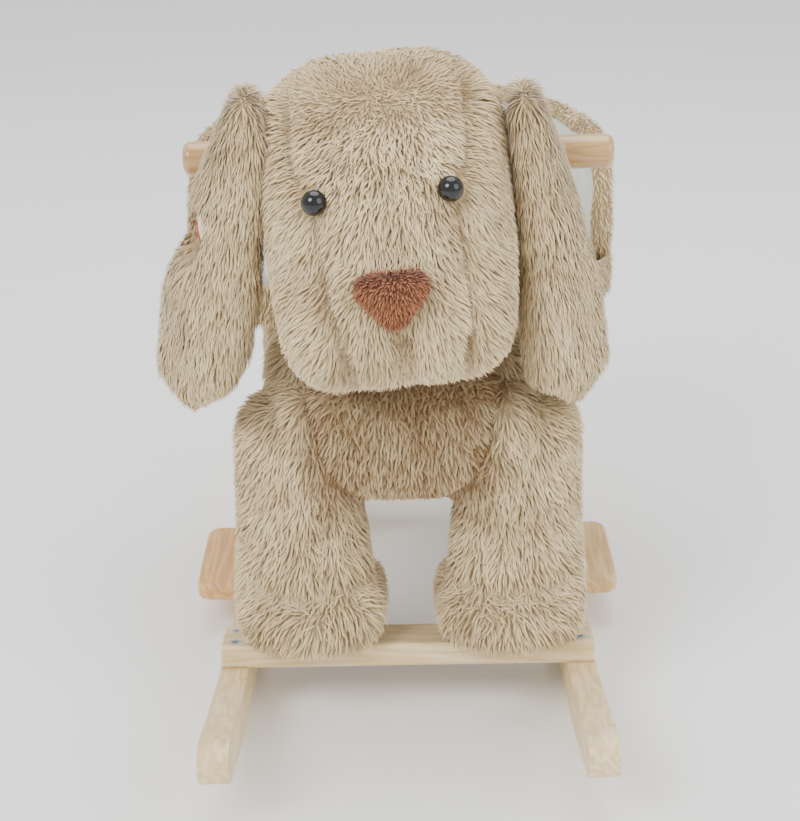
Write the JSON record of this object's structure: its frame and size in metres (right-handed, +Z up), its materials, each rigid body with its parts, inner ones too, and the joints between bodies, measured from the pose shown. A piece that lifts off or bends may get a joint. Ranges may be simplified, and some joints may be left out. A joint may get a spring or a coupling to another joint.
{
  "type": "plush rocking toy",
  "caption": "Child's rocking toy: a plush puppy with floppy ears, grip handles and a padded tub seat on curved pine rockers with rails and footrests.",
  "frame": {"origin": "centre of the overall box at the floor, under the middle of the rockers", "axes": "+Z up, the dog faces -Y, its left side is +X"},
  "size_m": [0.3494, 0.676, 0.4957],
  "materials": {
    "pine": "clear-coated pale pine, satin",
    "warm_pine": "clear-coated pine, warmer than the rails",
    "plywood": "bare plywood and fibreboard, matt",
    "screw_steel": "zinc-plated steel",
    "varnished_dowel": "gloss varnished beech",
    "tan_plush": "deep-pile tan plush",
    "seat_lining": "short-pile off-white plush",
    "paw_sole": "short-pile brown plush",
    "nose_plush": "short-pile reddish brown plush",
    "eye_black": "glossy black",
    "white_plastic": "moulded, satin",
    "red_plastic": "moulded, satin",
    "speaker_black": "paper cone in a dark frame",
    "circuit_green": "circuit board with solder mask"
  },
  "bodies": {
    "root": {"rocker_left": "pine", "rocker_right": "pine", "front_rail": "pine", "rear_rail": "pine", "footrest_left": "warm_pine", "footrest_right": "warm_pine", "front_rail_screws": "screw_steel", "rear_rail_screws": "screw_steel", "footrest_screws": "screw_steel", "front_left_post": "pine", "front_right_post": "pine", "rear_left_post": "pine", "rear_right_post": "pine", "leg_bolts": "screw_steel", "leg_washers": "screw_steel", "spine_board": "plywood", "spine_screws": "screw_steel", "neck_post": "pine", "neck_screws": "screw_steel", "seat_battens": "pine", "batten_screws": "screw_steel", "seat_board": "plywood", "seat_board_screws": "screw_steel", "handle_left": "varnished_dowel", "handle_right": "varnished_dowel", "handle_lock_screws": "screw_steel", "tub_shell": "plywood", "tub_cover": "tan_plush", "tub_lining": "seat_lining", "seat_cushion": "seat_lining", "body_plush": "tan_plush", "front_left_leg": "tan_plush", "front_right_leg": "tan_plush", "rear_left_leg": "tan_plush", "rear_right_leg": "tan_plush", "front_soles": "paw_sole", "rear_soles": "paw_sole", "head_plush": "tan_plush", "nose": "nose_plush", "eye_left": "eye_black", "eye_right": "eye_black", "eye_washers": "white_plastic", "tail": "tan_plush"},
    "ear_left": {"ear_left": "tan_plush"},
    "ear_right": {"ear_right": "tan_plush", "sound_case": "white_plastic", "sound_case_back": "white_plastic", "speaker": "speaker_black", "circuit_board": "circuit_green", "button_cells": "screw_steel", "button_spring": "screw_steel"},
    "button": {"sound_button": "red_plastic", "press_label": "red_plastic"}
  },
  "joints": [
    {"name": "ear_left_swing", "type": "hinge", "parent": "root", "child": "ear_left", "pos_m": [0.0884, -0.15, 0.456], "axis": [0, -1, 0], "range_deg": [0, 60]},
    {"name": "ear_right_swing", "type": "hinge", "parent": "root", "child": "ear_right", "pos_m": [-0.1156, -0.15, 0.456], "axis": [0, 1, 0], "range_deg": [0, 60]},
    {"name": "button_press", "type": "slide", "parent": "ear_right", "child": "button", "axis": [0.891, 0.454, 0], "range_m": [0, 0.002], "stiffness_N_per_m": 400, "deforming": ["button_spring"]}
  ]
}
